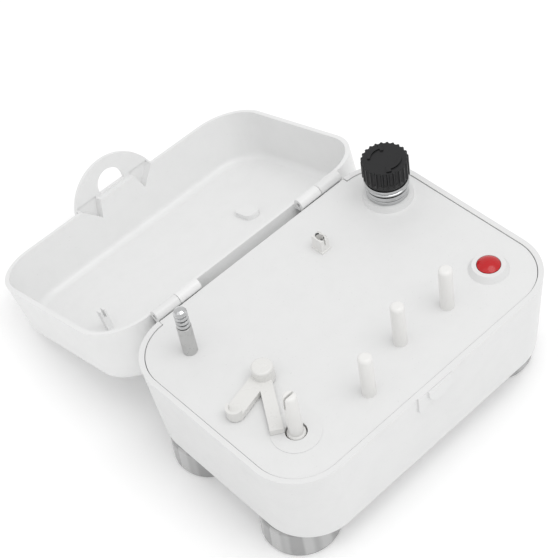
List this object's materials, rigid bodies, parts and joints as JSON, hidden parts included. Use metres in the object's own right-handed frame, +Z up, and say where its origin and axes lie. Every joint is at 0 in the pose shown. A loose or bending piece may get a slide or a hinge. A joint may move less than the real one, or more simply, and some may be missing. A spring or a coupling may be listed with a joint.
{
  "type": "portable electric bobbin winder",
  "caption": "White lidded case with a motor-driven bobbin spindle, stop lever, spool pin, thread tension dial, bobbin pegs, red start button and suction feet.",
  "frame": {"origin": "on the table under the middle of the open winder's bounding box, just behind the hinge line", "axes": "+X along the case and hinge line to the tension dial's end, +Y from the case to the opened lid, +Z up"},
  "size_m": [0.145, 0.2123, 0.08],
  "materials": {
    "case_white": "satin",
    "deck_white": "satin",
    "small_white": "satin",
    "foot_grey": "gloss",
    "knob_black": "satin",
    "button_red": "gloss",
    "bright_chrome": "polished",
    "plain_steel": "satin",
    "bronze": "satin",
    "nylon": "matte",
    "switch_black": "matte",
    "cell_wrap": "gloss"
  },
  "bodies": {
    "case": {"case_tub": "case_white", "suction_feet": "foot_grey", "case_screws": "plain_steel", "hinge_pins": "plain_steel", "deck_panel": "deck_white", "bobbin_pegs": "small_white", "thread_guide": "small_white", "guide_eyelet": "plain_steel", "upper_bush": "bronze", "lower_bush": "bronze", "gear_bracket": "nylon", "bracket_screws": "plain_steel", "motor_can": "plain_steel", "motor_end_cap": "switch_black", "motor_terminals": "bronze", "motor_screws": "plain_steel", "stop_switch_body": "switch_black", "spool_pin_tube": "bright_chrome", "tension_stud": "plain_steel", "tension_lock_nut": "plain_steel", "tension_base": "bright_chrome", "tension_spring": "plain_steel", "start_switch_body": "switch_black", "button_spring": "plain_steel", "battery_cells": "cell_wrap", "battery_contacts": "plain_steel", "battery_springs": "plain_steel"},
    "lid": {"lid": "case_white"},
    "spindle": {"winding_spindle": "small_white", "spindle_shaft": "plain_steel", "spindle_gear": "nylon"},
    "rotor": {"motor_shaft": "plain_steel", "motor_pinion": "bronze"},
    "lever": {"stop_lever": "small_white", "lever_cam": "nylon", "lever_screw": "plain_steel"},
    "stop_plunger": {"stop_switch_plunger": "button_red"},
    "spool_rod": {"spool_pin_rod": "bright_chrome"},
    "discs": {"tension_disc_lower": "bright_chrome", "tension_disc_upper": "bright_chrome"},
    "knob": {"tension_knob": "knob_black", "knob_insert": "bronze"},
    "button": {"start_button": "button_red", "start_switch_plunger": "switch_black"},
    "door": {"battery_door": "case_white"}
  },
  "joints": [
    {"name": "lid_hinge", "type": "hinge", "parent": "case", "child": "lid", "pos_m": [0, -0.00086, 0.056], "axis": [1, 0, 0], "range_deg": [0, 197.8]},
    {"name": "spindle_spin", "type": "hinge", "parent": "case", "child": "spindle", "pos_m": [-0.05045, -0.08196, 0.057], "axis": [0, 0, 1], "continuous": true},
    {"name": "motor_spin", "type": "hinge", "parent": "case", "child": "rotor", "pos_m": [-0.03692, -0.08689, 0.044], "axis": [0, 0, 1], "continuous": true},
    {"name": "stop_lever_turn", "type": "hinge", "parent": "case", "child": "lever", "pos_m": [-0.04185, -0.05546, 0.059], "axis": [0, 0, 1], "range_deg": [-14, 0]},
    {"name": "stop_plunger_slide", "type": "slide", "parent": "case", "child": "stop_plunger", "axis": [0, -1, 0], "range_m": [0, 0.002]},
    {"name": "spool_pin_slide", "type": "slide", "parent": "case", "child": "spool_rod", "axis": [0, 0, -1], "range_m": [-0.022, 0]},
    {"name": "tension_discs_spin", "type": "hinge", "parent": "case", "child": "discs", "pos_m": [0.0561, -0.02481, 0.063], "axis": [0, 0, 1], "continuous": true},
    {"name": "tension_knob_turn", "type": "hinge", "parent": "case", "child": "knob", "pos_m": [0.0561, -0.02481, 0.071], "axis": [0, 0, 1], "range_deg": [-170, 170]},
    {"name": "start_button_press", "type": "slide", "parent": "case", "child": "button", "axis": [0, 0, -1], "range_m": [0, 0.0024], "stiffness_N_per_m": 400, "springref_m": -0.0005, "deforming": ["button_spring"]},
    {"name": "battery_door_slide", "type": "slide", "parent": "case", "child": "door", "axis": [-1, 0, 0], "range_m": [0, 0.0064]}
  ],
  "couplings": [
    {"joint": "motor_spin", "follows": "spindle_spin", "ratio": -3},
    {"joint": "stop_plunger_slide", "follows": "stop_lever_turn", "m_per_rad": -0.008}
  ]
}
